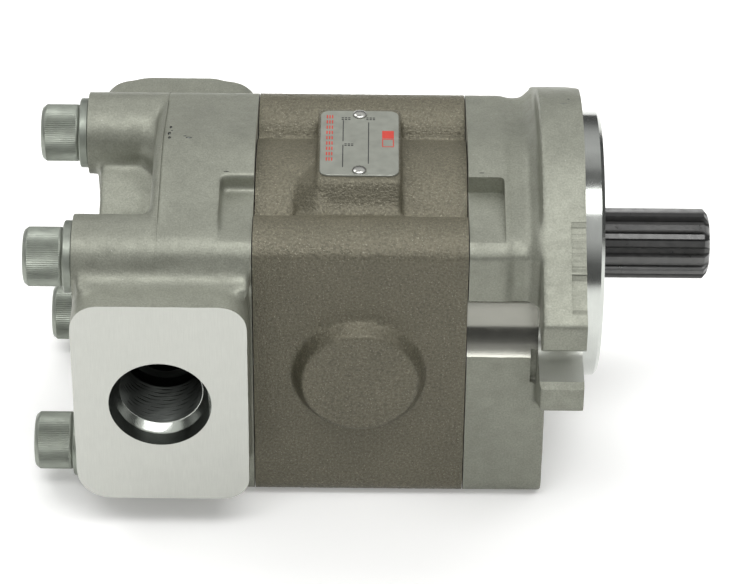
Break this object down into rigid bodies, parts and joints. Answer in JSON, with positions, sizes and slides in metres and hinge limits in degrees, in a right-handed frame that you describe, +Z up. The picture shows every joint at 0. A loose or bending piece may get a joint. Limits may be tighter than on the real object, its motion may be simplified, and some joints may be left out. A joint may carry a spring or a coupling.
{
  "type": "hydraulic gear pump",
  "caption": "External gear pump with an oval two-bolt flange, a splined drive shaft, square port blocks on its rear cover and long screws through three castings.",
  "frame": {"origin": "middle of the flat base that the pump stands on, halfway along between the screw heads and the shaft's splined end", "axes": "+X along the drive shaft towards its splined end, +Z up from the driven gear to the drive gear, -Y towards the suction port"},
  "size_m": [0.2092, 0.13, 0.115],
  "materials": {
    "cast_aluminium": "as cast, shot-blasted",
    "cast_iron": "sand cast, brown-grey",
    "gear_steel": "ground, oiled",
    "zinc_steel": "zinc plated",
    "bearing_aluminium": "machined",
    "bronze_bush": "bronze, machined",
    "seal_rubber": "matt",
    "backup_nylon": "matt",
    "plate_aluminium": "satin"
  },
  "bodies": {
    "pump_body": {"front_cover": "cast_aluminium", "gear_housing": "cast_iron", "rear_cover": "cast_aluminium", "front_bearing_block": "bearing_aluminium", "rear_bearing_block": "bearing_aluminium", "drive_front_bush": "bronze_bush", "drive_rear_bush": "bronze_bush", "driven_front_bush": "bronze_bush", "driven_rear_bush": "bronze_bush", "front_pressure_seal": "seal_rubber", "rear_pressure_seal": "seal_rubber", "front_seal_backup": "backup_nylon", "rear_seal_backup": "backup_nylon", "front_joint_seal": "seal_rubber", "rear_joint_seal": "seal_rubber", "shaft_seal": "seal_rubber", "seal_garter_spring": "gear_steel", "seal_circlip": "gear_steel", "cover_bolt_upper_front": "zinc_steel", "cover_bolt_upper_rear": "zinc_steel", "cover_bolt_lower_front": "zinc_steel", "cover_bolt_lower_rear": "zinc_steel", "bolt_washer_upper_front": "zinc_steel", "bolt_washer_upper_rear": "zinc_steel", "bolt_washer_lower_front": "zinc_steel", "bolt_washer_lower_rear": "zinc_steel", "front_dowel_suction": "gear_steel", "front_dowel_pressure": "gear_steel", "rear_dowel_suction": "gear_steel", "rear_dowel_pressure": "gear_steel", "nameplate": "plate_aluminium", "nameplate_rivet_front": "zinc_steel", "nameplate_rivet_rear": "zinc_steel"},
    "drive_rotor": {"drive_gear_shaft": "gear_steel"},
    "driven_rotor": {"driven_gear_shaft": "gear_steel"}
  },
  "joints": [
    {"name": "drive_spin", "type": "hinge", "parent": "pump_body", "child": "drive_rotor", "pos_m": [0, 0, 0.067], "axis": [1, 0, 0], "continuous": true},
    {"name": "driven_spin", "type": "hinge", "parent": "pump_body", "child": "driven_rotor", "pos_m": [0, 0, 0.03], "axis": [1, 0, 0], "continuous": true}
  ],
  "couplings": [
    {"joint": "driven_spin", "follows": "drive_spin", "ratio": -1}
  ]
}
